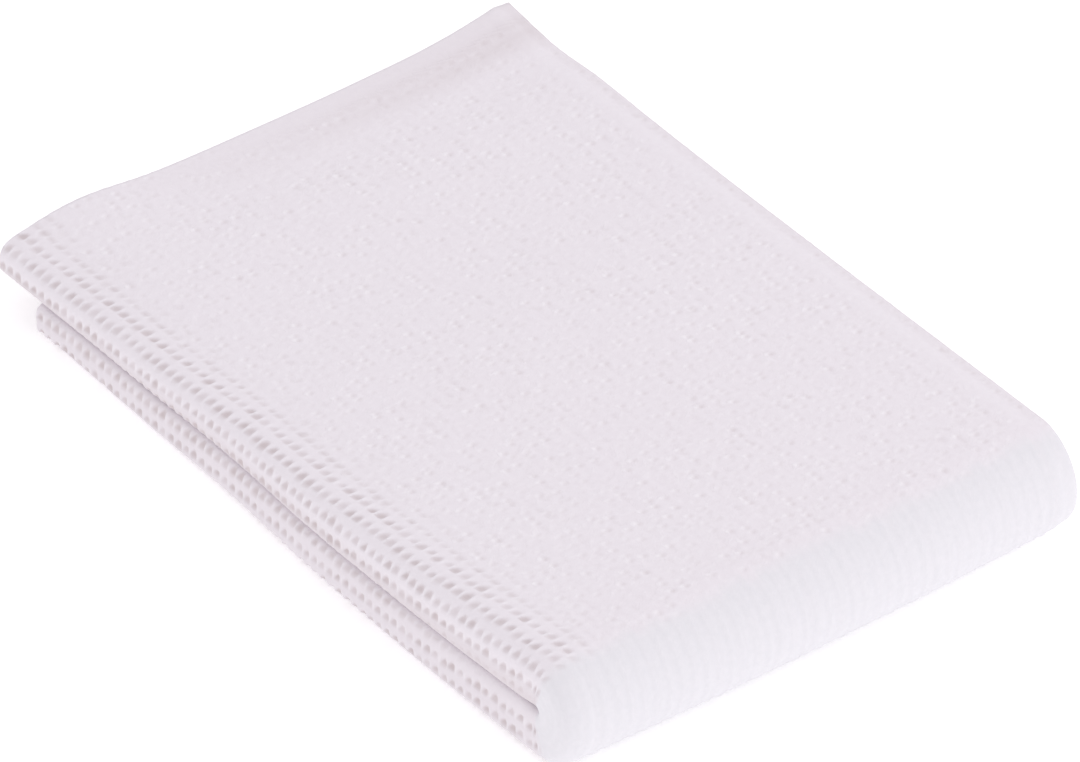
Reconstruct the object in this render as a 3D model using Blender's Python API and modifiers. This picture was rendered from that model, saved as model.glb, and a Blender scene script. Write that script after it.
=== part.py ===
"""A sauna towel of white cotton waffle weave, folded as it lies on a bench or a shelf.

One cloth is one sheet: it is folded in half three times along its length, which gives eight
layers, and then doubled over across them. X runs from the stacked long edges, at -X, to the
nose of the last fold, at +X. Y runs from the rolled folds, at -Y, to the hemmed short ends,
at +Y. The towel rests on its flat underside at Z = 0. Sizes are in metres.

In a section across the towel, a layer's depth is its distance from the middle plane of the
last fold, so that layer 1 of eight, the outermost, is the deepest one.
"""

import math

import bpy
import numpy as np

# The cloth, flat
FLAT_LENGTH = 2.00
CLOTH_THICK = 0.0011
HEM_THICK = 0.0014
HEM_BAND = 0.013
HEM_BLEND = 0.006
LEAST_GAP = 0.0005

# The folded towel
LAYERS = 8
END_WIDTH = FLAT_LENGTH / LAYERS
NOSE_WIDTH = END_WIDTH - 0.008
FOLDED_LENGTH = 0.3715
OVERHANG = 0.0245
NOSE_HEIGHT = 0.0486
END_HEIGHT = 0.0279
NOSE_BOW = 0.0035
NOSE_BOW_BACK = 0.0015

# The order in which one cloth runs through its layers, from its first short end to its last.
# It turns at the rolled side after the first, third, fifth and seventh, and at the hemmed side
# after the others. The steps of a turn go by its radius, in layer pitches.
LAYER_ORDER = (1, 8, 5, 4, 3, 6, 7, 2)
TURN_STEPS = {0.5: 4, 1.5: 6, 2.5: 7, 3.5: 8}

# How full the rolled folds are, as the power n of their curve: 2 is round, and more is squarer.
# The under half's folds are pressed flat on what they lie on, and both halves' at the crease
# between them, which closes up short of the nose.
UNDER_FULLNESS = 4.0
TOP_FULLNESS = 2.2
CREASE_FULLNESS = 5.0
CREASE_OPENS_FROM = 0.92

# The turns at the hemmed side, by the depth of their centre in layer pitches: the radius of the
# widest one there, and how far it stays back from the hemmed edge
HEM_SIDE_TURNS = {
    5.0: {"widest": 0.5, "setback": 0.0070},
    2.0: {"widest": 1.5, "setback": 0.0030},
}

# How far the top rises above its even slope along the stacked edge, across the towel: the share
# of the width, from the rolled side at -0.5 to the hemmed corner at 0.5, and the rise there
EDGE_RISE_SHARE = (-0.50, -0.36, -0.20, 0.00, 0.20, 0.36, 0.50)
EDGE_RISE = (0.0000, 0.0059, 0.0024, 0.0014, 0.0017, 0.0037, 0.0096)
RISE_REACH = 0.070

# The trough behind the stacked hems: its share at the rolled side, and what the width adds
TROUGH_DEPTH = 0.0018
TROUGH_FROM_END = 0.034
TROUGH_REACH = 0.018
TROUGH_SHARE = 0.55
TROUGH_GROWTH = 0.9

# The two hemmed short ends droop over the side of the pile
DROOP = 0.0022
DROOP_BAND = 0.007

# Slow unevenness of the top: depth, wavelength and phase
TOP_WAVES = ((0.0007, 0.210, 0.4), (0.0005, 0.125, 2.1))
WAVES_FADE_BY = 5.0

# How far the rolled side draws in, and bulges out where it is less than zero, by the share of
# the way from the stacked edge to the nose
SIDE_SHARE = (0.00, 0.17, 0.28, 0.45, 0.52, 0.60, 0.70, 0.85, 1.00)
SIDE_SHIFT = (0.0010, 0.0010, 0.0005, 0.0003, -0.0008, -0.0020, -0.0023, -0.0018, 0.0000)

# Where the sections stand: distances from the stacked edge, then shares of the rest of the run
EDGE_STATIONS = (0.0, 0.007, 0.013, 0.019, 0.030, 0.048, 0.075)
RUN_SHARES = (0.28, 0.52, 0.76)
NOSE_STEPS = 10
RUN_POINTS = (-0.36, -0.20, 0.00, 0.20, 0.36)

# The towel's folded length runs from BACK_X to the nose, whose centre line stands at NOSE_X
BACK_X = -FOLDED_LENGTH / 2
NOSE_X = FOLDED_LENGTH / 2 - NOSE_HEIGHT / 2
OUTER_LAYER = LAYERS - 0.5


def depth_of(layer):
    """A layer's depth in layer pitches."""
    return LAYERS + 0.5 - layer


def hem_share(distance):
    """1 in the hem at a cloth's edge, falling to 0 past it."""
    return np.clip((HEM_BAND + HEM_BLEND - distance) / HEM_BLEND, 0.0, 1.0)


def waves(at, table):
    """A sum of sine waves, a row of the table for each."""
    return sum(depth * math.sin(2 * math.pi * at / long + phase) for depth, long, phase in table)


def toward_nose(x):
    """0 at the stacked edge of the upper half, 1 where the nose begins."""
    return (x - BACK_X) / (NOSE_X - BACK_X)


def even_pitch(x):
    """The spacing of the layers where the towel's height grows evenly toward the nose."""
    height = END_HEIGHT + (NOSE_HEIGHT - END_HEIGHT) * toward_nose(x)
    return (height - CLOTH_THICK) / (2 * LAYERS - 1)


def least_pitch(x, edge_x):
    """The closest that layers may lie in the half whose stacked edge is at edge_x."""
    hem = float(hem_share(x - edge_x))
    return HEM_THICK * hem + CLOTH_THICK * (1 - hem) + LEAST_GAP


def crease_depth(x, edge_x, pitch):
    """The innermost layer's depth at the crease: pressed close, and free at the nose."""
    open_share = np.interp(toward_nose(x), (CREASE_OPENS_FROM, 1.0), (0.0, 1.0))
    return pitch / 2 * open_share + least_pitch(x, edge_x) / 2 * (1 - open_share)


def rolled_turn(start, end, fullness, crease):
    """A turn at the rolled side between two depths, in layer pitches: Y and depth.

    Either side of the middle plane is a quarter of |y| ** n + |depth| ** n = 1, stretched to
    the turn's radius. The innermost layer comes in at the depth of the crease.
    """
    middle, radius = (start + end) / 2, abs(start - end) / 2
    low = crease if min(start, end) == depth_of(LAYERS) else middle - radius
    angle = np.linspace(0, math.pi, TURN_STEPS[radius] + 1)
    outer_side = (start - end) * np.cos(angle) > 0
    power = 2 / np.where(outer_side, fullness, CREASE_FULLNESS)
    reach = np.where(outer_side, radius, low - middle) * np.abs(np.cos(angle)) ** power
    return -radius * np.abs(np.sin(angle)) ** power, middle + reach


def section(pitch, width, side_shift, fullness, crease):
    """The cloth's middle line through its eight layers: Y, depth, and distance to a short end.

    Straight runs alternate with turns about the depth halfway between the two layers that they
    join: half circles at the hemmed side, and rolled folds at the other.
    """
    roll_y = side_shift - width / 2 + (LAYERS - 1) / 2 * pitch + CLOTH_THICK / 2
    hem_points = width / 2 - np.array([HEM_BAND + HEM_BLEND, HEM_BAND, DROOP_BAND, 0.0])
    y_parts, depth_parts, end_parts = [], [], []
    for index, layer in enumerate(LAYER_ORDER):
        has_end = index in (0, LAYERS - 1)
        run = np.array(RUN_POINTS) * width
        if has_end:
            run = np.concatenate([run, hem_points])
        if index % 2 == 0:
            run = run[::-1]
        y_parts.append(run)
        depth_parts.append(np.full(len(run), depth_of(layer) * pitch))
        end_parts.append(width / 2 - run if has_end else np.full(len(run), width))
        if index == LAYERS - 1:
            break
        start, end = depth_of(layer), depth_of(LAYER_ORDER[index + 1])
        if index % 2 == 0:
            centre = roll_y
            out, depth = rolled_turn(start, end, fullness, crease / pitch)
        else:
            middle, radius = (start + end) / 2, abs(start - end) / 2
            row = HEM_SIDE_TURNS[middle]
            centre = width / 2 - row["setback"] - row["widest"] * pitch - CLOTH_THICK / 2
            angle = np.linspace(0, math.pi, TURN_STEPS[radius] + 1)
            out, depth = radius * np.sin(angle), middle + (start - end) / 2 * np.cos(angle)
        y_parts.append(centre + out * pitch)
        depth_parts.append(depth * pitch)
        end_parts.append(np.full(len(depth), width))
    return np.concatenate(y_parts), np.concatenate(depth_parts), np.concatenate(end_parts)


def top_lift(y, x, width):
    """How far the top rises from its even slope: the raised edge, the trough and slow waves."""
    distance = x - BACK_X
    rise = np.interp(y / width, EDGE_RISE_SHARE, EDGE_RISE) * math.exp(-distance / RISE_REACH)
    uneven = waves(x, TOP_WAVES) * np.cos(math.pi * y / width)
    share = np.clip(TROUGH_SHARE + TROUGH_GROWTH * y / width, 0, 1)
    fall = TROUGH_DEPTH * math.exp(-(((distance - TROUGH_FROM_END) / TROUGH_REACH) ** 2))
    return (rise + uneven - fall * share) * min(1.0, WAVES_FADE_BY * (1 - toward_nose(x)))


def place_section(part, x, angle):
    """One section's points, and the share of hem at each.

    part is "under", "nose" or "top"; x is where the section stands, and angle how far it has
    turned about the nose's centre line from the under half.
    """
    edge_x = BACK_X + (OVERHANG if part == "under" else 0.0)
    pitch = max(even_pitch(x), least_pitch(x, edge_x))
    width = END_WIDTH + (NOSE_WIDTH - END_WIDTH) * toward_nose(x)
    side_shift = np.interp(toward_nose(x), SIDE_SHARE, SIDE_SHIFT)
    fullness = UNDER_FULLNESS + (TOP_FULLNESS - UNDER_FULLNESS) * angle / math.pi
    crease = crease_depth(x, edge_x, pitch)
    y, depth, from_end = section(pitch, width, side_shift, fullness, crease)
    hem = np.maximum(float(hem_share(x - edge_x)), hem_share(from_end))
    outer = OUTER_LAYER * pitch
    depth = depth - DROOP * np.clip(1 - from_end / DROOP_BAND, 0, 1)
    # The outermost layer's outer face stays level where its hem is thicker
    outermost = depth > (LAYERS - 1) * pitch
    depth = depth - np.where(outermost, (HEM_THICK - CLOTH_THICK) / 2 * hem, 0.0)
    if part == "top":
        under_x = max(x, BACK_X + OVERHANG)
        under_pitch = max(even_pitch(under_x), least_pitch(under_x, BACK_X + OVERHANG))
        sag = OUTER_LAYER * (even_pitch(under_x) - even_pitch(x))
        middle = OUTER_LAYER * under_pitch + CLOTH_THICK / 2 - sag
        z = middle + depth + top_lift(y, x, width) * depth / outer
        return np.stack([np.full_like(y, x), y, z], axis=1), hem
    middle = outer + CLOTH_THICK / 2
    bow = NOSE_BOW * (1 - (2 * y / width) ** 2) - NOSE_BOW_BACK
    out = x + (depth + bow * depth / outer) * math.sin(angle)
    return np.stack([out, y, middle - depth * math.cos(angle)], axis=1), hem


def stations():
    """Every section from the lower half's stacked edge, round the nose, to the upper half's."""
    halves = []
    for edge_x in (BACK_X + OVERHANG, BACK_X):
        near = edge_x + np.array(EDGE_STATIONS)
        rest = near[-1] + (NOSE_X - near[-1]) * np.array(RUN_SHARES)
        halves.append(np.concatenate([near, rest]))
    under = [("under", x, 0.0) for x in halves[0]]
    nose = [("nose", NOSE_X, angle) for angle in np.linspace(0, math.pi, NOSE_STEPS + 1)]
    top = [("top", x, math.pi) for x in halves[1][::-1]]
    return under + nose + top


def cloth_grid():
    """The middle surface as an array (stations, points, 3), centred in X and Y, and its hems."""
    rows = [place_section(*station) for station in stations()]
    grid = np.array([points for points, _ in rows])
    hem = np.array([share for _, share in rows])
    half = CLOTH_THICK / 2
    centre_x = (grid[..., 0].min() + grid[..., 0].max() + half) / 2
    centre_y = (grid[..., 1].min() - half + grid[..., 1].max()) / 2
    return grid - np.array([centre_x, centre_y, 0.0]), hem


def grid_faces(rows, columns):
    """The four-sided faces between neighbouring rows and columns."""
    corner = (np.arange(rows - 1)[:, None] * columns + np.arange(columns - 1)).ravel()
    return np.stack([corner, corner + 1, corner + columns + 1, corner + columns], axis=1)


def cotton(colour, roughness):
    """The cloth's plain material."""
    material = bpy.data.materials.new("white_cotton")
    material.use_nodes = True
    shader = material.node_tree.nodes["Principled BSDF"]
    shader.inputs["Base Color"].default_value = (*colour, 1.0)
    shader.inputs["Roughness"].default_value = roughness
    shader.inputs["Metallic"].default_value = 0.0
    material.diffuse_color = (*colour, 1.0)
    return material


def make_towel(collection):
    """The towel: its middle surface with Solidify, thicker where a hem weighs it."""
    grid, hem = cloth_grid()
    rows, columns = grid.shape[:2]
    mesh = bpy.data.meshes.new("towel")
    mesh.from_pydata(grid.reshape(-1, 3).tolist(), [], grid_faces(rows, columns).tolist())
    mesh.materials.append(cotton(colour=(0.86, 0.84, 0.86), roughness=0.9))
    towel = bpy.data.objects.new("towel", mesh)
    collection.objects.link(towel)
    group = towel.vertex_groups.new(name="hem")
    for share in np.unique(hem):
        group.add(np.flatnonzero(hem.ravel() == share).tolist(), float(share), "REPLACE")
    solidify = towel.modifiers.new("cloth", "SOLIDIFY")
    solidify.thickness = HEM_THICK
    solidify.offset = 0.0
    solidify.use_even_offset = True
    solidify.vertex_group = "hem"
    solidify.thickness_vertex_group = CLOTH_THICK / HEM_THICK
    mesh.shade_smooth()
    mesh.set_sharp_from_angle(angle=math.radians(50))
    return towel


for old in list(bpy.data.objects):
    bpy.data.objects.remove(old, do_unlink=True)
sauna_towel = bpy.data.collections.new("sauna_towel")
bpy.context.scene.collection.children.link(sauna_towel)
make_towel(sauna_towel)
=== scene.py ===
import math

import bpy
import numpy as np
from mathutils import Matrix, Vector


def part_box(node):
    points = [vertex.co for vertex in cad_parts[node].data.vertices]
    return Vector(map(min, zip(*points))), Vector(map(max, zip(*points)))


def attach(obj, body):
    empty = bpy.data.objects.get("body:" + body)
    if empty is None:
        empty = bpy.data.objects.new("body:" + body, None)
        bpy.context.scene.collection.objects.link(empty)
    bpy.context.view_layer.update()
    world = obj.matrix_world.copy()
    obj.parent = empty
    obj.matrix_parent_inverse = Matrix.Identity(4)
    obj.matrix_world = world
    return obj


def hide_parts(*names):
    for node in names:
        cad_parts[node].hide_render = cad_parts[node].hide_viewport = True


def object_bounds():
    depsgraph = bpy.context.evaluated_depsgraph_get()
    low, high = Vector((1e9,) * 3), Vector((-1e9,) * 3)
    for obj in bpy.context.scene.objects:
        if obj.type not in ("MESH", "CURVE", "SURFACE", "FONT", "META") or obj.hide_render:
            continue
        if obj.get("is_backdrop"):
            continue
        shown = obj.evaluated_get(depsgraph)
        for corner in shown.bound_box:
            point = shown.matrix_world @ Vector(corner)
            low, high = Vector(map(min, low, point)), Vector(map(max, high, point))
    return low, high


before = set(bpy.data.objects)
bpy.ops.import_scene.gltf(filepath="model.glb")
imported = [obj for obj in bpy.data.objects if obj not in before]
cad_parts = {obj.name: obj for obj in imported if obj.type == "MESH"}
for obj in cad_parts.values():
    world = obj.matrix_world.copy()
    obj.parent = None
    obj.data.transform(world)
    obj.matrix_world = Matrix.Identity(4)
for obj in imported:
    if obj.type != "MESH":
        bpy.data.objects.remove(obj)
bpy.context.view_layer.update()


# The towel
# One cut length of white cotton waffle weave, 0.75 m by 2.00 m, with all four edges turned under
# twice and stitched down. It is folded in half three times along its length, into eight layers,
# and then doubled over across them, so that it lies in sixteen.

FLAT_WIDTH, FLAT_LENGTH = 0.75, 2.00
CLOTH_THICK, HEM_THICK = 0.0011, 0.0014
HEM_BAND, HEM_BLEND = 0.013, 0.006
LEAST_GAP = 0.0005
EDGE_BULGE = 0.0004

# The folded towel, in metres: X runs to the nose of the last fold, -Y is the side of the rolled
# folds, and the under half lies OVERHANG short of the upper one at the stacked edges
LAYERS = 8
END_WIDTH = FLAT_LENGTH / LAYERS
NOSE_WIDTH = 0.242
FOLDED_LENGTH = 0.3715
OVERHANG = 0.0245
NOSE_HEIGHT = 0.0486
END_HEIGHT = 0.0279
NOSE_BOW, NOSE_BOW_BACK = 0.0035, 0.0015
BACK_X = -FOLDED_LENGTH / 2
NOSE_X = FOLDED_LENGTH / 2 - NOSE_HEIGHT / 2
OUTER_LAYER = LAYERS - 0.5

# The order in which the cloth runs through its layers. It turns at the rolled side after the
# first, third, fifth and seventh, and at the side of the short ends after the others. A turn's
# steps and fullness go by its radius in layers, and a run's points are shares of the width.
LAYER_ORDER = (1, 8, 5, 4, 3, 6, 7, 2)
TURN_STEPS = {0.5: 6, 1.5: 8, 2.5: 10}
TIGHT_TURN_FULLNESS = {0.5: 2.0, 1.5: 2.6, 2.5: 3.5}
RUN_POINTS = (-0.36, -0.28, -0.20, -0.08, 0.05, 0.18, 0.28, 0.35, 0.40, 0.435)

# The turns at the side of the short ends, by the depth of their middle in layers. Two are nested
# about the depth of 2, so both are set back for the wider one. All bulge a little.
TURN_STRETCH = 1.2
HEM_SIDE_TURNS = {
    5.0: {"widest": 0.5, "setback": 0.0070},
    2.0: {"widest": 1.5, "setback": 0.0030},
}

# How full the rolled folds are: 2 is round, and more is squarer. The under half's are pressed
# flat on the floor, and both halves' at the crease between them, which opens at the nose.
UNDER_FULLNESS, TOP_FULLNESS = 4.0, 2.2
UNDER_CREASE_FULLNESS, TOP_CREASE_FULLNESS, NOSE_CREASE_FULLNESS = 6.0, 3.2, 8.0
NOSE_CREASE_GROWTH = 2.5
CREASE_OPENS_FROM = 0.970
CREASE_GAP = 0.00015
CREASE_REACH = 0.025
TURN_POINTS = 129

# How far the rolled side is shifted, by its share of the way to the nose
SIDE_SHARE = (0.00, 0.17, 0.28, 0.45, 0.52, 0.60, 0.70, 0.85, 1.00)
SIDE_SHIFT = (0.0010, 0.0010, 0.0005, 0.0003, -0.0008, -0.0020, -0.0023, -0.0018, 0.0000)

# The top's rise along the stacked edge, from the rolled side to the hemmed corner
EDGE_RISE_SHARE = (-0.50, -0.36, -0.20, 0.00, 0.20, 0.36, 0.50)
EDGE_RISE = (0.0000, 0.0059, 0.0024, 0.0014, 0.0017, 0.0037, 0.0096)
RISE_REACH = 0.070

# The trough behind the stacked hems, the droop of the two short ends, the reach of the side
# of the short ends past the solid, and the top's slow unevenness
TROUGH = {"depth": 0.0018, "from_end": 0.034, "reach": 0.018, "share": 0.55, "growth": 0.9}
DROOP, DROOP_BAND = 0.0013, 0.007
HEM_SIDE_REACH, HEM_SIDE_BY = 0.0020, 0.060
TOP_WAVES = ((0.0007, 0.210, 0.4), (0.0005, 0.125, 2.1))
WAVES_FADE_BY = 5.0

# The inner layers' stacked edges lie a little apart, in slow waves whose length is in cells
INNER_EDGE_INSET, INNER_EDGE_REACH = 0.0007, 0.020
INNER_EDGE_WAVE, INNER_EDGE_FADE = 7, 8

# The weave: a cell of the waffle across the folded towel and along it, and the fine lines that
# cut each cell. The cells stretch round the rolled side: their lines there, from the turn's
# start in the upper half, and back from the turn's end in the under half.
CELL_ACROSS, CELL_ALONG = 0.0060, 0.0051
ACROSS_STEPS = (0.0, 0.20, 0.35, 0.50, 0.65, 0.80)
ALONG_STEPS = (0.0, 0.13, 0.30, 0.50, 0.70, 0.87)
FLAT_CELLS = 38
ROLL_LINES_TOP = (-0.0064, 0.0005, 0.0075, 0.0147, 0.0220, 0.0295, 0.0370, 0.0445)
ROLL_LINES_UNDER = (0.0435, 0.0360, 0.0285, 0.0210, 0.0130, 0.0050, -0.0025, -0.0100)
OUTER_CELLS = FLAT_CELLS - 2 + len(ROLL_LINES_TOP)
UNDER_CELLS = round((NOSE_X - BACK_X - OVERHANG) / CELL_ALONG)
TOP_CELLS = round((NOSE_X - BACK_X) / CELL_ALONG)
NOSE_CELLS = round(math.pi * NOSE_HEIGHT / 2 / CELL_ALONG)
HEM_LINES = np.array([0.0, 0.0013, 0.0035, 0.0058, 0.0075, 0.0092, 0.0112, HEM_BAND])


def ease(share):
    """0 to 1 with a soft start and end, for a share that is held between them."""
    share = np.clip(share, 0.0, 1.0)
    return share * share * (3 - 2 * share)


def smooth_curve(at, points, values):
    """A table's values with a cubic between each two points, its slopes those of the table."""
    points, values = np.array(points), np.array(values)
    slopes = np.gradient(values, points)
    at = np.clip(at, points[0], points[-1])
    left = np.clip(np.searchsorted(points, at) - 1, 0, len(points) - 2)
    span = points[left + 1] - points[left]
    f = (at - points[left]) / span
    start = (1 + 2 * f) * (1 - f) ** 2 * values[left] + f * (1 - f) ** 2 * span * slopes[left]
    end = f * f * (3 - 2 * f) * values[left + 1] + f * f * (f - 1) * span * slopes[left + 1]
    return start + end


def waves(at, table):
    """A sum of sine waves, a row of depth, wavelength and phase for each."""
    return sum(depth * np.sin(2 * math.pi * at / length + phase) for depth, length, phase in table)


def hem_share(distance):
    """1 in the hem at a cloth's edge, falling to 0 past it."""
    return np.clip((HEM_BAND + HEM_BLEND - distance) / HEM_BLEND, 0.0, 1.0)


def toward_nose(x):
    """0 at the upper half's stacked edge, 1 where the nose begins."""
    return (x - BACK_X) / (NOSE_X - BACK_X)


def even_pitch(x):
    """The spacing of the layers where the towel's height grows evenly toward the nose."""
    height = END_HEIGHT + (NOSE_HEIGHT - END_HEIGHT) * toward_nose(x)
    return (height - CLOTH_THICK) / (2 * LAYERS - 1)


def least_pitch(x, edge_x):
    """The closest that layers may lie in the half whose stacked edge is at edge_x."""
    hem = hem_share(x - edge_x)
    return HEM_THICK * hem + CLOTH_THICK * (1 - hem) + LEAST_GAP


def layer_pitch(x, edge_x):
    """The spacing of the layers in the half whose stacked edge is at edge_x."""
    return np.maximum(even_pitch(x), least_pitch(x, edge_x))


def cell_lines(cells, steps):
    """The lines over that many cells, in cells, from the steps inside one cell."""
    return np.append((np.arange(cells)[:, None] + np.array(steps)).ravel(), cells)


def towel_rows():
    """The rows from the under half's stacked edge, round the nose, to the upper half's.

    Each has its place x, its angle about the nose's centre line, and its count of cells b; the
    under half ends at 0 and the upper half begins at NOSE_CELLS. Its half is 0 for the under
    half, 1 for the nose and 2 for the upper half.
    """
    under_b = cell_lines(UNDER_CELLS, ALONG_STEPS) - UNDER_CELLS
    nose_b = cell_lines(NOSE_CELLS, ALONG_STEPS)[1:]
    top_b = NOSE_CELLS + cell_lines(TOP_CELLS, ALONG_STEPS)[1:]
    b = np.concatenate([under_b, nose_b, top_b])[:, None]
    under_x = NOSE_X + (NOSE_X - BACK_X - OVERHANG) * b / UNDER_CELLS
    top_x = NOSE_X - (NOSE_X - BACK_X) * (b - NOSE_CELLS) / TOP_CELLS
    x = np.minimum(NOSE_X, np.where(b < 0, under_x, top_x))
    angle = math.pi * np.clip(b / NOSE_CELLS, 0, 1)
    half = np.where(b <= 0, 0, np.where(b <= NOSE_CELLS, 1, 2))
    edge_x = np.where(half == 0, BACK_X + OVERHANG, BACK_X)
    pitch = layer_pitch(x, edge_x)
    share = toward_nose(x)
    width = END_WIDTH + (NOSE_WIDTH - END_WIDTH) * share
    shift = smooth_curve(share, SIDE_SHARE, SIDE_SHIFT)
    open_share = ease((share - CREASE_OPENS_FROM) / (1 - CREASE_OPENS_FROM))
    closed = (least_pitch(x, edge_x) - LEAST_GAP + CREASE_GAP) / 2
    crease = pitch / 2 * open_share + closed * (1 - open_share)
    upper = angle / math.pi
    growth = share ** NOSE_CREASE_GROWTH
    left_crease = UNDER_CREASE_FULLNESS + (TOP_CREASE_FULLNESS - UNDER_CREASE_FULLNESS) * upper
    return {"b": b, "x": x, "angle": angle, "half": half, "edge": x - edge_x, "pitch": pitch,
            "width": width, "roll_y": shift - width / 2 + (LAYERS - 1) / 2 * pitch + CLOTH_THICK / 2,
            "crease": crease, "upper": upper,
            "fullness": UNDER_FULLNESS + (TOP_FULLNESS - UNDER_FULLNESS) * upper,
            "crease_fullness": left_crease + (NOSE_CREASE_FULLNESS - left_crease) * growth}


def outer_columns():
    """The outermost layer's columns, counted in cells from the hem's stitching."""
    return np.append((HEM_LINES[:-1] - HEM_BAND) / CELL_ACROSS, cell_lines(OUTER_CELLS, ACROSS_STEPS))


def rolled_turn(angle, radius, low, rows):
    """Y out from the turn's centre and depth, round a rolled turn of that radius in pitches.

    Either side of the middle plane is a quarter of |y| ** n + |depth| ** n = 1, stretched to
    the turn's radius; its crease side ends at the depth low.
    """
    outer_side = angle < math.pi / 2
    fullness = np.where(outer_side, rows["fullness"], rows["crease_fullness"])
    power = 2 / np.minimum(fullness, TIGHT_TURN_FULLNESS.get(radius, fullness))
    middle = LAYERS / 2 * rows["pitch"]
    reach = np.where(outer_side, radius * rows["pitch"], low - middle)
    y = radius * rows["pitch"] * np.abs(np.sin(angle)) ** power
    return y, middle + reach * np.abs(np.cos(angle)) ** power


def crease_run(y, rows):
    """The innermost layer's depth: pressed to the crease at the roll, and free of it further in."""
    free = ease((y - rows["roll_y"]) / CREASE_REACH)
    return rows["crease"] + (rows["pitch"] / 2 - rows["crease"]) * free


def outer_path(rows):
    """Y, depth, distance past the turn's start and the turn's length, for the outer layer."""
    a = outer_columns()
    angle = np.linspace(0, math.pi, TURN_POINTS)[None, :]
    radius = (LAYERS - 1) / 2
    turn_y, turn_depth = rolled_turn(angle, radius, rows["crease"], rows)
    steps = np.hypot(np.diff(turn_y, axis=1), np.diff(turn_depth, axis=1))
    lengths = np.hstack([0 * rows["b"], np.cumsum(steps, axis=1)])
    turn = lengths[:, -1:]
    run = rows["width"] / 2 - rows["roll_y"]
    upper = ease(rows["upper"])
    lines = np.array([ROLL_LINES_TOP]) * upper + (turn - np.array([ROLL_LINES_UNDER])) * (1 - upper)
    line_cells = np.append(0, FLAT_CELLS - 1 + np.arange(len(ROLL_LINES_TOP)))
    line_arcs = np.hstack([HEM_BAND - run, lines])
    arc = np.stack([np.interp(a, line_cells, row) for row in line_arcs])
    arc = np.where(a < 0, HEM_BAND + a * CELL_ACROSS - run, arc)
    on_turn = [np.interp(at, length, out) for at, length, out in zip(arc, lengths, turn_y)]
    at_depth = [np.interp(at, length, out) for at, length, out in zip(arc, lengths, turn_depth)]
    y = np.where(arc < 0, rows["roll_y"] - arc, rows["roll_y"] - np.stack(on_turn))
    y = np.where(arc > turn, rows["roll_y"] + arc - turn, y)
    depth = np.where(arc > turn, crease_run(y, rows), np.stack(at_depth))
    return y, depth, arc, turn


def inner_path(rows):
    """Y, depth and distance to the far short end, from the outer layer's end through the rest."""
    pitch, width, roll_y = rows["pitch"], rows["width"], rows["roll_y"]
    run_points = np.array([RUN_POINTS])
    y_parts, depth_parts, end_parts = [], [], []
    for index in range(1, LAYERS):
        layer = LAYER_ORDER[index]
        depth = LAYERS + 0.5 - layer
        if index == LAYERS - 1:
            run = np.concatenate([run_points * width, width / 2 - HEM_LINES[::-1]], axis=1)
            y_parts.append(run)
            depth_parts.append(depth * pitch + 0 * run)
            end_parts.append(width / 2 - run)
            break
        next_depth = LAYERS + 0.5 - LAYER_ORDER[index + 1]
        middle, radius = (depth + next_depth) / 2, abs(depth - next_depth) / 2
        angle = np.linspace(0, math.pi, TURN_STEPS[radius] + 1)[None, :]
        if index % 2 == 0:
            far_y = roll_y
            out, turned = rolled_turn(angle, radius, (middle - radius) * pitch, rows)
            turn_y = roll_y - out
            if depth < next_depth:
                turn_y, turned = turn_y[:, ::-1], turned[:, ::-1]
        else:
            row = HEM_SIDE_TURNS[middle]
            far_y = width / 2 - row["setback"] - row["widest"] * TURN_STRETCH * pitch - CLOTH_THICK / 2
            turn_y = far_y + radius * TURN_STRETCH * pitch * np.sin(angle)
            turned = (middle + (depth - next_depth) / 2 * np.cos(angle)) * pitch
        run = (run_points if far_y[0, 0] > 0 else run_points[:, ::-1]) * width
        y_parts += [run, turn_y]
        depth_parts += [crease_run(run, rows) if index == 1 else depth * pitch + 0 * run, turned]
        end_parts += [width + 0 * run, width + 0 * turn_y]
    return tuple(np.concatenate(part, axis=1) for part in (y_parts, depth_parts, end_parts))


def top_lift(y, rows):
    """How far the top rises from its even slope: the raised edge, the trough and slow waves."""
    x, width = rows["x"], rows["width"]
    distance = x - BACK_X
    rise = smooth_curve(y / width, EDGE_RISE_SHARE, EDGE_RISE) * np.exp(-distance / RISE_REACH)
    uneven = waves(x, TOP_WAVES) * np.cos(math.pi * y / width)
    share = np.clip(TROUGH["share"] + TROUGH["growth"] * y / width, 0, 1)
    fall = TROUGH["depth"] * np.exp(-(((distance - TROUGH["from_end"]) / TROUGH["reach"]) ** 2))
    return (rise + uneven - fall * share) * np.minimum(1.0, WAVES_FADE_BY * (1 - toward_nose(x)))


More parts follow.
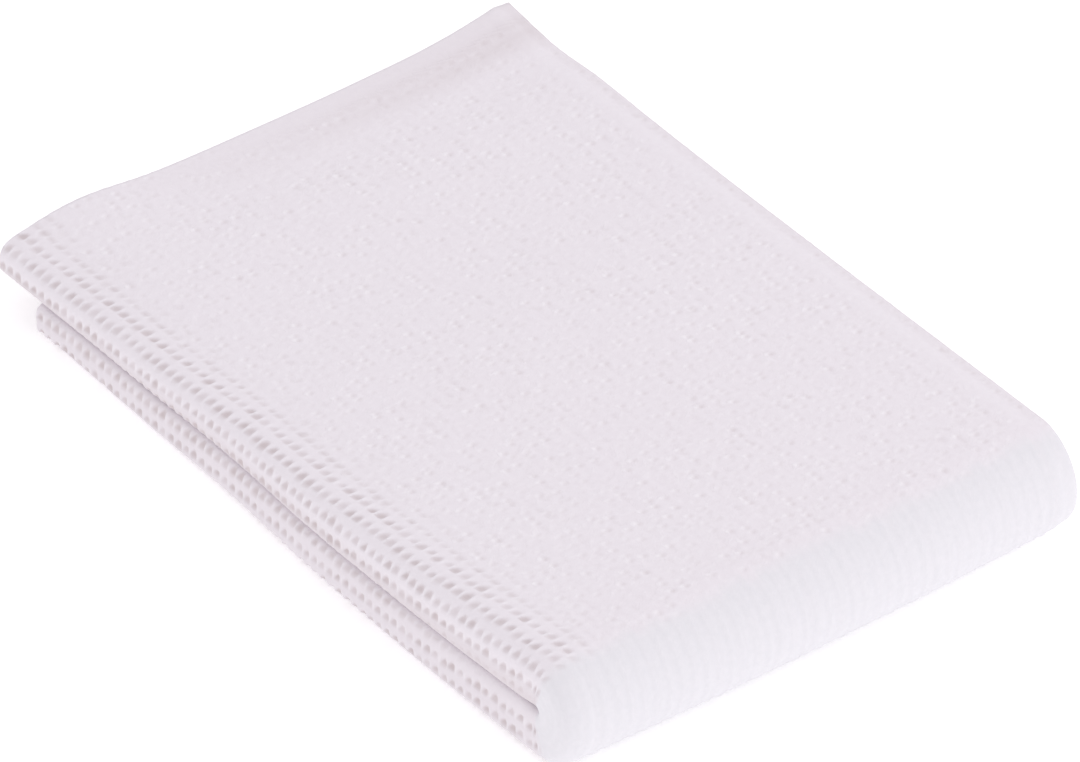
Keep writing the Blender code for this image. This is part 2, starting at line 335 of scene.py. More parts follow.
def cloth_middle():
    """The cloth's middle surface, row by row along the towel and column by column across it.

    The under half lies at its middle plane less the layer's depth, the nose turns that depth
    about its centre line, and the upper half lies at the middle plane plus the depth.
    """
    rows = towel_rows()
    x, angle, half, pitch, width = (rows[key] for key in ("x", "angle", "half", "pitch", "width"))
    y, depth, arc, turn = outer_path(rows)
    a = outer_columns()
    inner_y, inner_depth, inner_end = inner_path(rows)
    from_end = np.hstack([width / 2 - rows["roll_y"] + arc, inner_end])
    y, depth = np.hstack([y, inner_y]), np.hstack([depth, inner_depth])
    hem = np.maximum(np.where(half == 1, 0, hem_share(rows["edge"])), hem_share(from_end))
    outer = OUTER_LAYER * pitch
    depth = depth - DROOP * np.clip(1 - from_end / DROOP_BAND, 0, 1)
    outermost = depth > (LAYERS - 1) * pitch
    depth = depth - np.where(outermost, (HEM_THICK - CLOTH_THICK) / 2 * hem, 0.0)
    under_x = np.maximum(x, BACK_X + OVERHANG)
    sag = OUTER_LAYER * (even_pitch(under_x) - even_pitch(x))
    top_middle = OUTER_LAYER * layer_pitch(under_x, BACK_X + OVERHANG) + CLOTH_THICK / 2 - sag
    top_z = top_middle + depth + top_lift(y, rows) * depth / outer
    bow = NOSE_BOW * (1 - (2 * y / width) ** 2) - NOSE_BOW_BACK
    out = x + (depth + bow * depth / outer) * np.sin(angle)
    z = np.where(half == 2, top_z, outer + CLOTH_THICK / 2 - depth * np.cos(angle))
    grid = np.stack([np.where(half == 1, out, x + 0 * y), y, z], axis=2)
    steps = np.linalg.norm(np.diff(grid[:, a.size - 1:], axis=1), axis=2) / CELL_ACROSS
    past = np.cumsum(steps, axis=1)
    grid[..., 1] += HEM_SIDE_REACH * ease((x - BACK_X) / HEM_SIDE_BY) * (y / width + 0.5)
    inset = INNER_EDGE_INSET * (1 + np.sin(past / INNER_EDGE_WAVE))
    inset = inset * np.exp(-rows["edge"] / INNER_EDGE_REACH) * ease(past / INNER_EDGE_FADE)
    grid[:, a.size:, 0] += np.where(half == 1, 0, inset)
    return {**rows, "grid": grid, "hem": hem, "a": np.hstack([a + 0 * x, OUTER_CELLS + past]),
            "arc": arc, "turn": turn, "from_end": from_end, "y": y}


def face_out(grid):
    """The unit direction out of the cloth's outer face at each point of its middle surface."""
    out = np.cross(np.gradient(grid, axis=0), np.gradient(grid, axis=1))
    return out / np.linalg.norm(out, axis=2, keepdims=True)


# The relief of the weave. Pits reach into the cloth's face and knobs stand on it where its ridges
# cross. The pits open round the rolled folds and close up short of the crease, and round the
# nose only the ribs across the fold are left. No two cells are quite alike. Reaches, shifts and
# leans within a cell are shares of it.
PIT_DEPTH_FLAT, PIT_DEPTH_ROLLED = 0.00020, 0.00075
PIT_REACH_ACROSS, PIT_REACH_ALONG = 0.29, 0.37
PIT_SHIFT, PIT_SPREAD, PIT_TAPER, PIT_LEAN = 0.08, 0.22, 0.45, 0.15
NARROWEST_PIT, WIDEST_PIT = 0.4, 1.6
SHALLOW_FLAT, DEPTH_SPREAD_FLAT, SHALLOW_ROLLED, DEPTH_SPREAD_ROLLED = 0.2, 1.8, 0.65, 0.35
KNOB_HEIGHT, RIDGE_HEIGHT = 0.00022, 0.00010
KNOB_SHIFT, KNOB_REACH_ACROSS, KNOB_REACH_ALONG, KNOB_SLANT = 0.10, 0.38, 0.52, 0.35
LEAST_KNOB, KNOB_SPREAD, KNOB_LOSS_ROLLED = 0.3, 1.0, 0.6
BRIDGE_HEIGHT, BRIDGE_REACH_ACROSS, BRIDGE_REACH_ALONG = 0.00024, 0.40, 0.18
OPENING_REACH = 0.019

# The ribs of the nose: their start and end round it, and a finer rib between each two
RIB_HEIGHT, LEAST_RIB, RIB_SPREAD, FINE_RIB = 0.00022, 0.2, 0.9, 0.6
RIB_FROM, RIB_BY, RIB_RAGGED = math.radians(176), math.radians(156), 0.12
RIB_START_CELLS = 2
RIB_ROLL_REACH, RIB_LOSS = 0.012, 0.8

# Where the weave is smooth: short of the crease, in the hems, and in a dip behind the top hem
SMOOTH_FROM_TOP, SMOOTH_FROM_UNDER, SMOOTH_REACH = 0.0090, 0.0075, 0.0040
SMOOTH_TO_NOSE, SMOOTH_GROWTH = 0.0080, 3
PLAIN_HEM, PLAIN_BLEND, PLAIN_END_FROM = 0.0105, 0.0025, 0.003
PLAIN_EDGE_LOSS, PLAIN_END_LOSS = 0.92, 0.80
CORNER_FROM, CORNER_BY = -0.40, 0.10
DIP_AT, DIP_REACH, DIP_LOSS = 0.024, 0.012, 0.45
END_RIDGE_AT, END_RIDGE_REACH, END_RIDGE = 0.0085, 0.0040, 0.00025

# The painted light: painted shade toward the crease, over the under half's side, in the pits and in the
# ribs' grooves, and painted highlights on knobs, bridges and rib crests
SHADE, SHADE_FROM, SHADE_BY = 0.45, 0.38, 0.72
UNDER_SHADE, UNDER_SHADE_REACH = 0.12, 0.0060
PIT_SHADE_FLAT, PIT_SHADE_SPREAD_FLAT = 0.02, 0.16
PIT_SHADE_ROLLED, PIT_SHADE_SPREAD_ROLLED = 0.40, 0.50
KNOB_HIGHLIGHT, BRIDGE_HIGHLIGHT, RIB_HIGHLIGHT, RIB_GROOVE_SHADE = 0.4, 1.5, 0.15, 0.08

# Random values for a field of cells. The hem has up to three cells before the first, and the
# ribs read one row of the field.
SEED = 11
DRAWS, DRAWN_ACROSS, DRAWN_ALONG = 6, 53, 211
CELLS_IN_HEM = 3
RIB_DRAW_ROW = 7


def mound(offset, reach):
    """1 at the middle, falling smoothly to 0 at that reach to either side."""
    return np.clip(1 - (offset / reach) ** 2, 0, 1) ** 2


def hollow(across, along):
    """1 over the middle with a steep fall to 0 at an oval whose reach both offsets count in."""
    return np.clip(1 - np.abs(across) ** 3 - np.abs(along) ** 3, 0, 1)


def cell_values(table, a, b):
    """Each cell's value in a table of random draws."""
    across = np.floor(a + CELLS_IN_HEM).astype(int) % table.shape[0]
    return table[across, np.floor(b).astype(int) % table.shape[1]]


def plain_end(end):
    """1 in the plain band of a short end's hem, short of its very edge."""
    band = ease((PLAIN_HEM + PLAIN_BLEND - end) / PLAIN_BLEND)
    return band * ease((end - PLAIN_END_FROM) / PLAIN_BLEND)


def waffle_share(cloth, y, arc, edge, end):
    """1 where the waffle shows in full, and less in each smooth place, as a product of shares."""
    upper = ease(cloth["upper"])
    smooth_from = SMOOTH_FROM_TOP * upper + SMOOTH_FROM_UNDER * (1 - upper)
    smooth_from = smooth_from + SMOOTH_TO_NOSE * toward_nose(cloth["x"]) ** SMOOTH_GROWTH
    shows = ease((cloth["turn"] - arc - smooth_from + SMOOTH_REACH) / SMOOTH_REACH)
    corner = ease((y / cloth["width"] - CORNER_FROM) / (CORNER_BY - CORNER_FROM))
    plain_edge = ease((PLAIN_HEM + PLAIN_BLEND - edge) / PLAIN_BLEND) * corner
    dip = DIP_LOSS * np.exp(-(((edge - DIP_AT) / DIP_REACH) ** 2)) * corner
    in_hems = (1 - PLAIN_EDGE_LOSS * plain_edge) * (1 - PLAIN_END_LOSS * plain_end(end))
    return shows * in_hems * (1 - dip)


def weave_relief(cloth):
    """The relief over the outer layer's face, its shares of painted shade, painted highlight and flat,
    and the nose's.

    relief = ridges and knobs + bridges between pits - pit depth * pit + ribs, each weighed by
    where it shows. A pit is an oval hollow in the middle of its cell, a knob is a mound where
    four cells meet, and a bridge is a mound between two pits of one row.
    """
    arc, b = cloth["arc"], cloth["b"]
    a, y, end = (cloth[key][:, :arc.shape[1]] for key in ("a", "y", "from_end"))
    edge = np.where(cloth["half"] == 1, 1.0, cloth["edge"])
    upper = ease(cloth["upper"])
    draws = np.random.default_rng(SEED).random((DRAWS, DRAWN_ACROSS, DRAWN_ALONG))
    across_draw, along_draw, size_draw, depth_draw = (cell_values(draw, a, b) for draw in draws[:4])
    rib_draws, knob_draws = draws[4:]
    opened = ease((arc + OPENING_REACH) / OPENING_REACH)
    rib_end = RIB_FROM - RIB_RAGGED * cell_values(rib_draws, a, 0 * b)
    nose = ease(b / RIB_START_CELLS) * ease((rib_end - cloth["angle"]) / (RIB_FROM - RIB_BY))
    shows = waffle_share(cloth, y, arc, edge, end)

    across = a % 1 - 0.5 - PIT_SHIFT * (2 * across_draw - 1)
    along = b % 1 - 0.5 - PIT_SHIFT * (2 * along_draw - 1)
    size = 1 + PIT_SPREAD * (size_draw + along_draw - 1)
    down = across / (PIT_REACH_ACROSS * size)
    taper = np.clip(1 + PIT_TAPER * down * (2 * upper - 1), NARROWEST_PIT, WIDEST_PIT)
    pit = hollow(down, (along - PIT_LEAN * down) / (PIT_REACH_ALONG * size * taper)) * shows
    deep_flat = PIT_DEPTH_FLAT * (SHALLOW_FLAT + DEPTH_SPREAD_FLAT * depth_draw ** 3)
    deep_rolled = PIT_DEPTH_ROLLED * (SHALLOW_ROLLED + DEPTH_SPREAD_ROLLED * depth_draw)
    deep = deep_flat * (1 - opened) + deep_rolled * opened

    shift_a, shift_b = (KNOB_SHIFT * (2 * cell_values(draw, a + 0.5, b + 0.5) - 1) * (1 - opened)
                        for draw in draws[:2])
    ridge_a = (a + 0.5) % 1 - 0.5 - shift_a
    ridge_b = (b + 0.5) % 1 - 0.5 - shift_b
    knob = LEAST_KNOB + KNOB_SPREAD * cell_values(knob_draws, a + 0.5, b + 0.5)
    knob = knob * mound(ridge_a, KNOB_REACH_ACROSS) * shows
    knob = knob * mound(ridge_b + KNOB_SLANT * ridge_a, KNOB_REACH_ALONG)
    bridge = mound(ridge_b, BRIDGE_REACH_ALONG) * mound(across, BRIDGE_REACH_ACROSS) * opened * shows

    rib_size = LEAST_RIB + RIB_SPREAD * cell_values(knob_draws, a + 0.5, 0 * b + RIB_DRAW_ROW)
    rib = rib_size * np.cos(2 * math.pi * a) + FINE_RIB * np.cos(4 * math.pi * a)
    ribs = RIB_HEIGHT * rib * nose * (1 - RIB_LOSS * ease(arc / RIB_ROLL_REACH))
    ribs = ribs * (1 - RIB_LOSS * plain_end(end))
    end_ridge = END_RIDGE * mound(end - END_RIDGE_AT, END_RIDGE_REACH) * (cloth["half"] == 2)
    waffle = RIDGE_HEIGHT * shows + KNOB_HEIGHT * knob * (1 - KNOB_LOSS_ROLLED * opened)
    waffle = (waffle + BRIDGE_HEIGHT * bridge - deep * pit) * (1 - nose)

    # Painted shade toward the crease of the upper roll and over the under half's side, painted shade in
    # the pits and the ribs' grooves, and painted highlights on the knobs, bridges and rib crests
    shade = SHADE * upper * ease((arc / cloth["turn"] - SHADE_FROM) / (SHADE_BY - SHADE_FROM))
    shade = shade + UNDER_SHADE * (1 - upper) * ease(arc / UNDER_SHADE_REACH)
    pit_shade_flat = PIT_SHADE_FLAT + PIT_SHADE_SPREAD_FLAT * depth_draw ** 5
    pit_shade_rolled = PIT_SHADE_ROLLED + PIT_SHADE_SPREAD_ROLLED * depth_draw
    pit_shade = pit_shade_flat * (1 - opened) + pit_shade_rolled * opened
    painted_shade = (pit * pit_shade + shade) * (1 - nose) + RIB_GROOVE_SHADE * nose * np.clip(-rib, 0, 1)
    light = (KNOB_HIGHLIGHT * knob * (1 - opened) + BRIDGE_HIGHLIGHT * bridge) * (1 - nose)
    light = light + RIB_HIGHLIGHT * nose * np.clip(rib, 0, 1)
    flat = (1 - opened) * (1 - nose) * shows
    return waffle + ribs + end_ridge, np.stack([painted_shade, light, flat], axis=2), nose + 0 * a


def faces_between(used, blocks):
    """Faces over the used points of a grid, for blocks that each give their rows and columns.

    A face spans two neighbouring lines each way, and its corners are all the used points that
    lie along its four sides, so that a plain block meets a fine one with no gap.
    """
    index = np.cumsum(used.ravel()).reshape(used.shape) - 1
    in_row, in_column = np.cumsum(used, axis=1), np.cumsum(used, axis=0)
    faces = []
    for rows, columns in blocks:
        r0, c0 = np.meshgrid(rows[:-1], columns[:-1], indexing="ij")
        r1, c1 = np.meshgrid(rows[1:], columns[1:], indexing="ij")
        steps = (in_row[r0, c1] - in_row[r0, c0] + in_row[r1, c1] - in_row[r1, c0]
                 + in_column[r1, c0] - in_column[r0, c0] + in_column[r1, c1] - in_column[r0, c1])
        whole = steps == 4
        quads = np.stack([index[r0, c0], index[r1, c0], index[r1, c1], index[r0, c1]], axis=-1)
        faces += quads[whole].tolist()
        for top, bottom, left, right in zip(r0[~whole], r1[~whole], c0[~whole], c1[~whole]):
            around = [(r, left) for r in range(top, bottom)]
            around += [(bottom, c) for c in range(left, right)]
            around += [(r, right) for r in range(bottom, top, -1)]
            around += [(top, c) for c in range(right, left, -1)]
            faces.append([int(index[point]) for point in around if used[point]])
    return faces


def used_points(shape, blocks):
    """Which points of the grid any block uses."""
    used = np.zeros(shape, bool)
    for rows, columns in blocks:
        used[np.ix_(rows, columns)] = True
    return used


# The cells across the towel where the mesh gets finer toward the rolled side, where the rolled
# pits start and where they end at the crease, and how many cells one face spans where it is plain
NEAR_ROLL, ROLLED, CREASED = FLAT_CELLS - 5, FLAT_CELLS - 1, FLAT_CELLS + 4
PLAIN_CELLS = 3


def mesh_blocks(cloth):
    """The blocks of the outer face and of the inner face, fine only where the weave shows.

    The steps of a cell that a block keeps are places in ACROSS_STEPS and ALONG_STEPS.
    """
    b, columns = cloth["b"][:, 0], np.arange(cloth["grid"].shape[1])
    row = np.arange(len(b))
    across, along = len(ACROSS_STEPS), len(ALONG_STEPS)
    stitches = len(HEM_LINES) - 1
    on_line = row % along
    every_cell = on_line == 0
    in_nose = (b >= 0) & (b <= NOSE_CELLS)
    wide = row[every_cell & (in_nose | (np.round(b) % PLAIN_CELLS == 0) | (row == row[-1]))]
    top = b >= 0

    def cells(first, last, steps):
        picked = [stitches + cell * across + step for cell in range(first, last) for step in steps]
        return np.array(picked + [stitches + last * across])

    hem = columns[:stitches + 1]
    inner = columns[stitches + OUTER_CELLS * across:]
    crease = cells(CREASED, OUTER_CELLS, (0, 3))
    outer_face = [
        (row[every_cell & (b <= 0)], hem),
        (row[(on_line % 3 == 0) & top], hem),
        (row[every_cell & (b <= 0)], cells(0, ROLLED, (0,))),
        (row[np.isin(on_line, (0, 2, 4)) & top], cells(0, NEAR_ROLL, (0, 1, 3, 5))),
        (row[np.isin(on_line, (0, 2, 3, 4)) & top], cells(NEAR_ROLL, ROLLED, (0, 1, 3, 5))),
        (row, cells(ROLLED, CREASED, range(across))),
        (row[every_cell], crease),
        (wide, inner),
    ]
    plain = np.concatenate([hem[:-1:2], cells(0, ROLLED, (0,))[::PLAIN_CELLS],
                            cells(ROLLED, CREASED, (0, 3)), crease[1:], inner[1:]])
    return outer_face, [(wide, np.unique(plain))]


def towel_mesh(cloth):
    """The closed mesh of the cloth: its outer face with the weave, its inner face and its edges.

    A face lies half the thickness off the middle surface, and the outer one by its relief more.
    Its point attributes are weave (the place in cells across and along, and the nose's share), the
    shares of painted shade, painted highlight and flat, edges (the distances from the stacked edge
    and from the short end, and y over the width) and zones (inside the pile, on the flat top).
    """
    grid = cloth["grid"]
    out = face_out(grid)
    thick = CLOTH_THICK + (HEM_THICK - CLOTH_THICK) * cloth["hem"]
    outer_relief, outer_shares, nose = weave_relief(cloth)
    inner = grid.shape[1] - outer_relief.shape[1]
    relief, nose = (np.pad(values, ((0, 0), (0, inner))) for values in (outer_relief, nose))
    shares = np.pad(outer_shares, ((0, 0), (0, inner), (0, 0)))
    front = grid + out * (thick / 2 + relief)[..., None]
    back = grid - out * (thick / 2)[..., None]
    front[..., 2] = np.maximum(front[..., 2], 0)
    front_blocks, back_blocks = mesh_blocks(cloth)
    used, used_back = used_points(relief.shape, front_blocks), used_points(relief.shape, back_blocks)
    index = np.cumsum(used.ravel()).reshape(used.shape) - 1
    index_back = used.sum() + np.cumsum(used_back.ravel()).reshape(used.shape) - 1
    back_start = int(used.sum())
    faces = faces_between(used, front_blocks)
    for face in faces_between(used_back, back_blocks):
        faces.append([back_start + corner for corner in face[::-1]])
    middle = (front + back) / 2
    rim_spots, rim_points, rim_faces = towel_rim(grid, middle, used, used_back, index, index_back)
    faces += rim_faces
    corner = (rim_spots[:, 0], rim_spots[:, 1])
    weave = np.stack([cloth["a"], cloth["b"] + 0 * cloth["a"], nose], axis=2)
    edge = np.where(cloth["half"] == 1, 1.0, cloth["edge"]) + 0 * cloth["a"]
    edges = np.stack([edge, cloth["from_end"], cloth["y"] / cloth["width"]], axis=2)
    inside_pile = cloth["a"] > OUTER_CELLS
    on_top = (cloth["half"] == 2) & (cloth["a"] < FLAT_CELLS)
    zones = np.stack([inside_pile, on_top, 0 * relief], axis=2)
    attributes = {}
    for name, values in {"weave": weave, "painted_light_and_flat": shares, "edges": edges, "zones": zones}.items():
        attributes[name] = np.concatenate([values[used], values[used_back], values[corner]])
    return np.concatenate([front[used], back[used_back], rim_points]), faces, attributes


def towel_rim(grid, middle, used, used_back, index, index_back):
    """The cloth's turned edges: a line of points halfway through it that bulges out, and its faces."""
    last_row, last_column = grid.shape[0] - 1, grid.shape[1] - 1
    every_row, every_column = np.arange(last_row + 1), np.arange(last_column + 1)
    sides = [
        ([(at, 0) for at in every_row], True), ([(at, last_column) for at in every_row], False),
        ([(0, at) for at in every_column], False), ([(last_row, at) for at in every_column], True),
    ]
    start = int(used.sum() + used_back.sum())
    rim, points, faces = {}, [], []
    for side, _ in sides:
        for spot in side:
            if not used_back[spot] or spot in rim:
                continue
            rim[spot] = start + len(points)
            outward = np.zeros(3)
            if spot[1] in (0, last_column):
                outward += unit(grid[spot] - grid[spot[0], 1 if spot[1] == 0 else last_column - 1])
            if spot[0] in (0, last_row):
                outward += unit(grid[spot] - grid[1 if spot[0] == 0 else last_row - 1, spot[1]])
            points.append(middle[spot] + unit(outward) * EDGE_BULGE)
    for side, turned in sides:
        kept = [at for at, spot in enumerate(side) if used_back[spot]]
        for low, high in zip(kept, kept[1:]):
            first, last = side[low], side[high]
            between = [int(index[spot]) for spot in side[low:high + 1] if used[spot]]
            upper = between + [rim[last], rim[first]]
            lower = [rim[first], rim[last], int(index_back[last]), int(index_back[first])]
            faces += [face[::-1] if turned else face for face in (upper, lower)]
    return np.array(list(rim)), np.array(points), faces


def unit(vector):
    """The vector at length 1."""
    return vector / np.linalg.norm(vector)


def new_piece(name, points, faces, attributes):
    """A mesh object of that name, with a vector at each point for each named attribute."""
    mesh = bpy.data.meshes.new(name)
    mesh.from_pydata(points.tolist(), [], faces)
    for key, values in attributes.items():
        layer = mesh.attributes.new(key, "FLOAT_VECTOR", "POINT")
        layer.data.foreach_set("vector", values.astype(np.float32).ravel())
    mesh.shade_smooth()
    piece = bpy.data.objects.new(name, mesh)
    bpy.context.scene.collection.objects.link(piece)
    return piece


def linear(hex_colour):
    """A hex sRGB colour in linear light, with full alpha."""
    channels = [int(hex_colour[i:i + 2], 16) / 255 for i in (1, 3, 5)]
    return (*[c / 12.92 if c <= 0.04045 else ((c + 0.055) / 1.055) ** 2.4 for c in channels], 1.0)


def add_node(tree, kind, inputs, **settings):
    """Adds a node with its settings and with values or links for its sockets. Gives its outputs."""
    node = tree.nodes.new(kind)
    for key, value in settings.items():
        setattr(node, key, value)
    for key, value in inputs.items():
        if isinstance(value, bpy.types.NodeSocket):
            tree.links.new(value, node.inputs[key])
        else:
            node.inputs[key].default_value = value
    return node.outputs


COTTON_COLOUR = "#E9E3E9"
# The lighter colour paints highlights, and also the cloth's mottling
HIGHLIGHT_AND_MOTTLE_COLOUR = "#F4F0F5"
# The nose's colour is a painted cooler light that falls on it
NOSE_LIGHT_COLOUR = "#E3E2E7"
# The darker colour is painted shade, warm for the light that bounces in pits and the crease
PAINTED_SHADE_COLOUR = "#CBBFC1"
ROUGHNESS, SHEEN, SHEEN_ROUGHNESS = 0.9, 0.15, 0.5
BUMP_STRENGTH, BUMP_DISTANCE = 0.6, 0.0004

# The yarns' fuzz and the cloth's mottling, drawn coarser than they are so that they show, and the
# floats of the yarns on top, which are short strokes slanting across the towel, painted lighter as
# highlights, with painted shade in the gaps between them
FUZZ_SIZE, MOTTLE_SIZE = 0.0009, 0.0026
FUZZ_DETAIL, MOTTLE_DETAIL = 2.0, 1.0
STROKE_TURN = math.radians(-127)
STROKE_LENGTH, STROKE_WIDTH = 0.0036, 0.0021

# A loose knob of yarn stands in most cells, out of line with its neighbours, painted lighter as a
# highlight. The side that turns to the nose is a second knob, moved by that share of a cell, and is
# painted darker as the knob's shadow.
KNOB_DISORDER, KNOB_SHADOW_SHIFT = 0.75, 0.23

# The stacked hem's border runs in steps of one cell. It has a fold line, painted darker as the
# shadow of the hem's step, and a dip lies behind it, painted in shade.
BORDER_STEP, FOLD_AT, BEHIND_HEM = 0.0018, 0.0130, 0.0180

# Each mask: its name, what it reads, where that gives 0 and where it gives 1, and the mask of the
# place where it shows. Distances are in metres, and the rest are shares.
MASKS = (
    ("drawn_across", "across_wave", 1.0, -1.0, "inside_pile"),
    ("drawn", "along_wave", 1.0, -1.0, "drawn_across"),
    ("toward_corner", "y_share", -0.333, 0.333, "on_top"),
    ("along_dip", "y_share", -0.233, 0.433, "on_top"),
    ("band", "border", 0.01167, 0.01083, "toward_corner"),
    ("lip", "edge", 0.0050, 0.0, "toward_corner"),
    ("fold", "from_fold", 0.0025, 0.0, "toward_corner"),
    ("dip", "from_dip", 0.0118, 0.0, "along_dip"),
    ("end_ridge", "from_ridge", END_RIDGE_REACH, 0.0, "on_top"),
    ("end_strip", "end", 0.0060, 0.00267, "on_top"),
    ("stroke", "strokes", 0.629, 0.771, "flat"),
    ("gap", "strokes", 0.371, 0.229, "flat"),
    ("knob_size", "knob_draw", 0.091, 1.0, "flat"),
    ("knob", "knob_distance", 0.357, 0.0, "knob_size"),
    ("side_size", "side_draw", 0.091, 1.0, "flat"),
    ("side", "side_distance", 0.357, 0.0, "side_size"),
)

# How much each mask lightens the cloth, darkens it, and raises it in the bump. The lightening is
# painted highlight on knobs, bridges, ribs, floats and the short end's ridge, with the mottling and
# the stacked hem's lip; the darkening is painted shade in the pits, gaps, crease, fold line and dip,
# on the knobs' far sides and on the short end's sloping strip, with the hem band.
LIGHTER = {"mottle": 0.4, "light": 0.4, "stroke": 0.20, "knob": 0.9, "lip": 0.1, "end_ridge": 0.2}
DARKER = {"painted_shade": 1.0, "gap": 0.05, "side": 0.30, "drawn": 0.5, "band": 0.11, "fold": 0.16,
          "dip": 0.32, "end_strip": 0.08}
RAISED = {"fuzz": 0.22, "mottle": 0.4, "stroke": 0.3, "gap": -0.25, "knob": 1.2, "band": 1.0,
          "drawn": -1.0}


def woven_cotton():
    """Bleached cotton in a waffle weave: matt, with soft painted highlights in the ridges.

    The pits are painted darker and warmer than the ridges, a painted shade for the light that
    bounces in them, and the knobs where ridges cross are painted lighter, as highlights. A weighted
    sum of masks mixes in the light colour, which paints highlights and the mottling, another the
    dark one, which paints shade, and a third is the bump's height. The nose is mixed toward the
    colour of the cooler light that falls on it.
    """
    material = bpy.data.materials.new("bleached_cotton_waffle")
    material.use_nodes = True
    tree = material.node_tree
    masks = {}
    for attribute, names in (("weave", ("across", "along", "nose")),
                             ("painted_light_and_flat", ("painted_shade", "light", "flat")),
                             ("edges", ("edge", "end", "y_share")),
                             ("zones", ("inside_pile", "on_top"))):
        vector = add_node(tree, "ShaderNodeAttribute", {}, attribute_name=attribute)["Vector"]
        masks[attribute] = vector
        masks.update(zip(names, add_node(tree, "ShaderNodeSeparateXYZ", {0: vector})))

    # The waves of the cells, which draw the weave where the mesh is plain, with painted shade in their
    # pits inside the pile
    for name in ("across", "along"):
        turn = add_node(tree, "ShaderNodeMath", {0: masks[name], 1: 2 * math.pi}, operation="MULTIPLY")[0]
        masks[name + "_wave"] = add_node(tree, "ShaderNodeMath", {0: turn}, operation="COSINE")[0]

    # The distances to the lines of the hems
    in_cell = add_node(tree, "ShaderNodeMath", {0: masks["across"]}, operation="FRACT")[0]
    masks["border"] = add_node(tree, "ShaderNodeMath", {0: in_cell, 1: BORDER_STEP, 2: masks["edge"]},
                               operation="MULTIPLY_ADD")[0]
    for name, distance, at in (("from_fold", "border", FOLD_AT), ("from_dip", "edge", BEHIND_HEM),
                               ("from_ridge", "end", END_RIDGE_AT)):
        past = add_node(tree, "ShaderNodeMath", {0: masks[distance], 1: at}, operation="SUBTRACT")[0]
        masks[name] = add_node(tree, "ShaderNodeMath", {0: past}, operation="ABSOLUTE")[0]

    # The patterns of the yarns: fuzz, mottling, floats and loose knobs
    place = add_node(tree, "ShaderNodeTexCoord", {})["Object"]
    slanted = add_node(tree, "ShaderNodeVectorRotate", {"Vector": place, "Angle": STROKE_TURN},
                       rotation_type="Z_AXIS")[0]
    per_stroke = (1 / STROKE_LENGTH, 1 / STROKE_WIDTH, 1 / STROKE_WIDTH)
    stretched = add_node(tree, "ShaderNodeVectorMath", {0: slanted, 1: per_stroke},
                         operation="MULTIPLY")[0]
    for name, vector, scale, detail in (("fuzz", place, 1 / FUZZ_SIZE, FUZZ_DETAIL),
                                        ("mottle", place, 1 / MOTTLE_SIZE, MOTTLE_DETAIL),
                                        ("strokes", stretched, 1.0, 0.0)):
        noise = add_node(tree, "ShaderNodeTexNoise", {"Vector": vector, "Scale": scale, "Detail": detail})
        masks[name] = noise["Fac"]
    for name, shift in (("knob", 0.0), ("side", KNOB_SHADOW_SHIFT)):
        moved = add_node(tree, "ShaderNodeVectorMath", {0: masks["weave"], 1: (shift, shift, 0.0)},
                         operation="ADD")[0]
        cells = add_node(tree, "ShaderNodeTexVoronoi", {
            "Vector": moved, "Scale": 1.0, "Randomness": KNOB_DISORDER}, voronoi_dimensions="2D")
        masks[name + "_distance"] = cells["Distance"]
        masks[name + "_draw"] = add_node(tree, "ShaderNodeSeparateColor", {"Color": cells["Color"]})[0]

    for name, reads, none_at, full_at, shows in MASKS:
        share = add_node(tree, "ShaderNodeMapRange", {
            "Value": masks[reads], "From Min": none_at, "From Max": full_at})[0]
        masks[name] = add_node(tree, "ShaderNodeMath", {0: share, 1: masks[shows]},
                               operation="MULTIPLY")[0]
    sums = []
    for weights in (LIGHTER, DARKER, RAISED):
        total = 0.0
        for name, weight in weights.items():
            total = add_node(tree, "ShaderNodeMath", {0: masks[name], 1: weight, 2: total},
                             operation="MULTIPLY_ADD")[0]
        sums.append(total)
    lighter, darker, height = sums
    # Mixed in turn: the nose's painted cooler light, the painted highlights with the mottling, and the
    # painted shade
    colour = linear(COTTON_COLOUR)
    for share, other in ((masks["nose"], NOSE_LIGHT_COLOUR), (lighter, HIGHLIGHT_AND_MOTTLE_COLOUR), (darker, PAINTED_SHADE_COLOUR)):
        colour = add_node(tree, "ShaderNodeMix", {0: share, 6: colour, 7: linear(other)},
                          data_type="RGBA")[2]
    bump = add_node(tree, "ShaderNodeBump", {
        "Strength": BUMP_STRENGTH, "Distance": BUMP_DISTANCE, "Height": height})
    shader = tree.nodes["Principled BSDF"]
    tree.links.new(colour, shader.inputs["Base Color"])
    tree.links.new(bump["Normal"], shader.inputs["Normal"])
    shader.inputs["Roughness"].default_value = ROUGHNESS
    shader.inputs["Sheen Weight"].default_value = SHEEN
    shader.inputs["Sheen Roughness"].default_value = SHEEN_ROUGHNESS
    return material


# The sheet is centred over the solid. Its middle surface ends half the cloth's thickness inside
# the nose and the rolled side.
cloth = cloth_middle()
box_low, box_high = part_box("towel")
low, high = cloth["grid"].reshape(-1, 3).min(0), cloth["grid"].reshape(-1, 3).max(0)
cloth["grid"][..., 0] += (box_low.x + box_high.x) / 2 - (low[0] + high[0] + CLOTH_THICK / 2) / 2
cloth["grid"][..., 1] += (box_low.y + box_high.y) / 2 - (low[1] - CLOTH_THICK / 2 + high[1]) / 2
towel = new_piece("waffle_towel", *towel_mesh(cloth))
towel.data.materials.append(woven_cotton())
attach(towel, "root")
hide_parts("towel")


# The studio
# A white paper floor under an even white light, with one broad soft light from the right and
# from above, and the camera at the photograph's angle. The floor glows faintly, which evens out
# the shade on it.

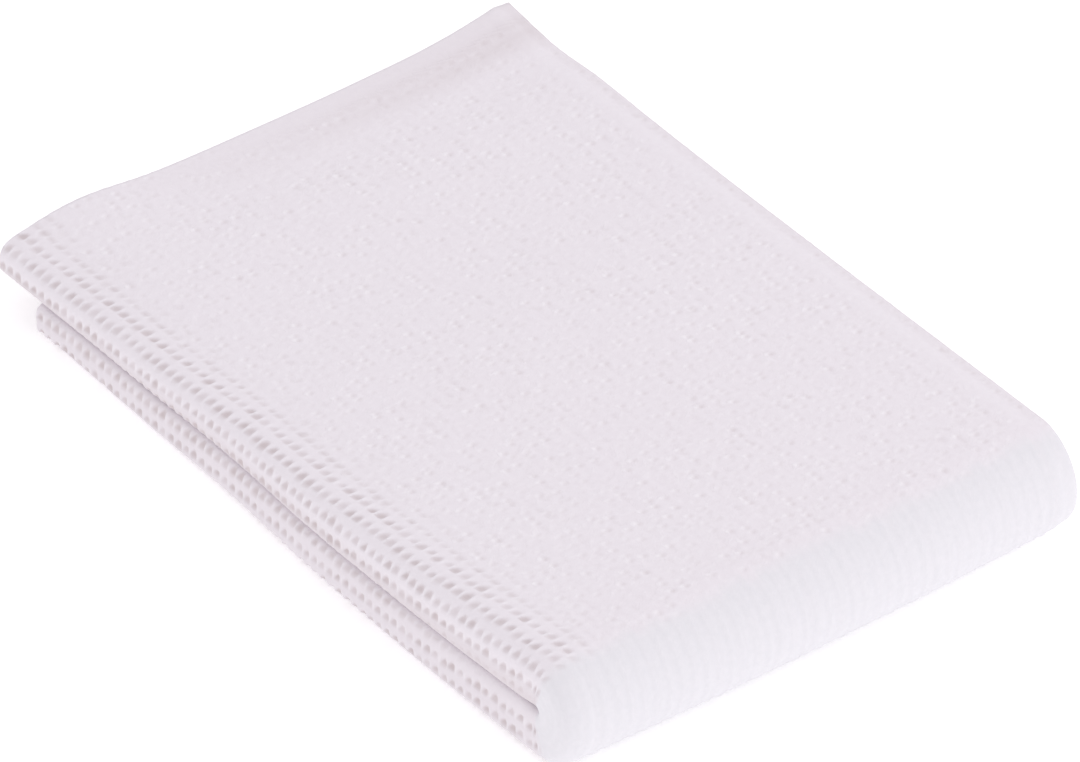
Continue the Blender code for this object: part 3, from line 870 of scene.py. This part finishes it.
FLOOR_SIZE = 12.0
FLOOR_COLOUR, FLOOR_GLOW_COLOUR, FLOOR_GLOW = "#FCFCFC", "#FFFFFF", 0.25
ROOM_COLOUR, ROOM_LIGHT = "#FFFDFF", 0.88
SOFT_BOX_SIZE, SOFT_BOX_POWER, SOFT_BOX_PLACE = 1.6, 8.0, (1.2, 1.0, 1.6)
LENS, SENSOR = 428.6, 36.0
NEAREST, FARTHEST = 0.1, 100.0
CAMERA_AZIMUTH, CAMERA_ELEVATION = math.radians(53.31), math.radians(38.84)
CAMERA_DISTANCE = 5.0
AIM = Vector((-0.001, 0.0, 0.015))
AIM_RIGHT, AIM_UP = 0.00132, 0.00463

floor_mesh = bpy.data.meshes.new("paper_floor")
side = FLOOR_SIZE / 2
floor_corners = [(-side, -side, 0), (side, -side, 0), (side, side, 0), (-side, side, 0)]
floor_mesh.from_pydata(floor_corners, [], [(0, 1, 2, 3)])
floor = bpy.data.objects.new("paper_floor", floor_mesh)
bpy.context.scene.collection.objects.link(floor)
paper = bpy.data.materials.new("white_paper")
paper.use_nodes = True
paper_shader = paper.node_tree.nodes["Principled BSDF"]
paper_shader.inputs["Base Color"].default_value = linear(FLOOR_COLOUR)
paper_shader.inputs["Roughness"].default_value = 1.0
paper_shader.inputs["Specular IOR Level"].default_value = 0.0
paper_shader.inputs["Emission Color"].default_value = linear(FLOOR_GLOW_COLOUR)
paper_shader.inputs["Emission Strength"].default_value = FLOOR_GLOW
floor_mesh.materials.append(paper)
floor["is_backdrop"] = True

world = bpy.data.worlds.new("white_room")
bpy.context.scene.world = world
world.use_nodes = True
world.node_tree.nodes["Background"].inputs["Color"].default_value = linear(ROOM_COLOUR)
world.node_tree.nodes["Background"].inputs["Strength"].default_value = ROOM_LIGHT

light = bpy.data.lights.new("soft_box", "AREA")
light.shape = "SQUARE"
light.size, light.energy = SOFT_BOX_SIZE, SOFT_BOX_POWER
soft_box = bpy.data.objects.new("soft_box", light)
bpy.context.scene.collection.objects.link(soft_box)
soft_box.location = SOFT_BOX_PLACE
soft_box.rotation_euler = (-soft_box.location).to_track_quat("-Z", "Y").to_euler()

back = Vector((math.sin(CAMERA_AZIMUTH) * math.cos(CAMERA_ELEVATION),
               -math.cos(CAMERA_AZIMUTH) * math.cos(CAMERA_ELEVATION),
               math.sin(CAMERA_ELEVATION)))
right = Vector((math.cos(CAMERA_AZIMUTH), math.sin(CAMERA_AZIMUTH), 0))
up = back.cross(right)
camera = bpy.data.objects.new("camera", bpy.data.cameras.new("camera"))
bpy.context.scene.collection.objects.link(camera)
camera.data.lens, camera.data.sensor_width = LENS, SENSOR
camera.data.clip_start, camera.data.clip_end = NEAREST, FARTHEST
turned = Matrix((right, up, back)).transposed().to_4x4()
stand = AIM + right * AIM_RIGHT + up * AIM_UP + back * CAMERA_DISTANCE
camera.matrix_world = Matrix.Translation(stand) @ turned
bpy.context.scene.camera = camera
bpy.context.scene.view_settings.view_transform = "Standard"

low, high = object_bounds()
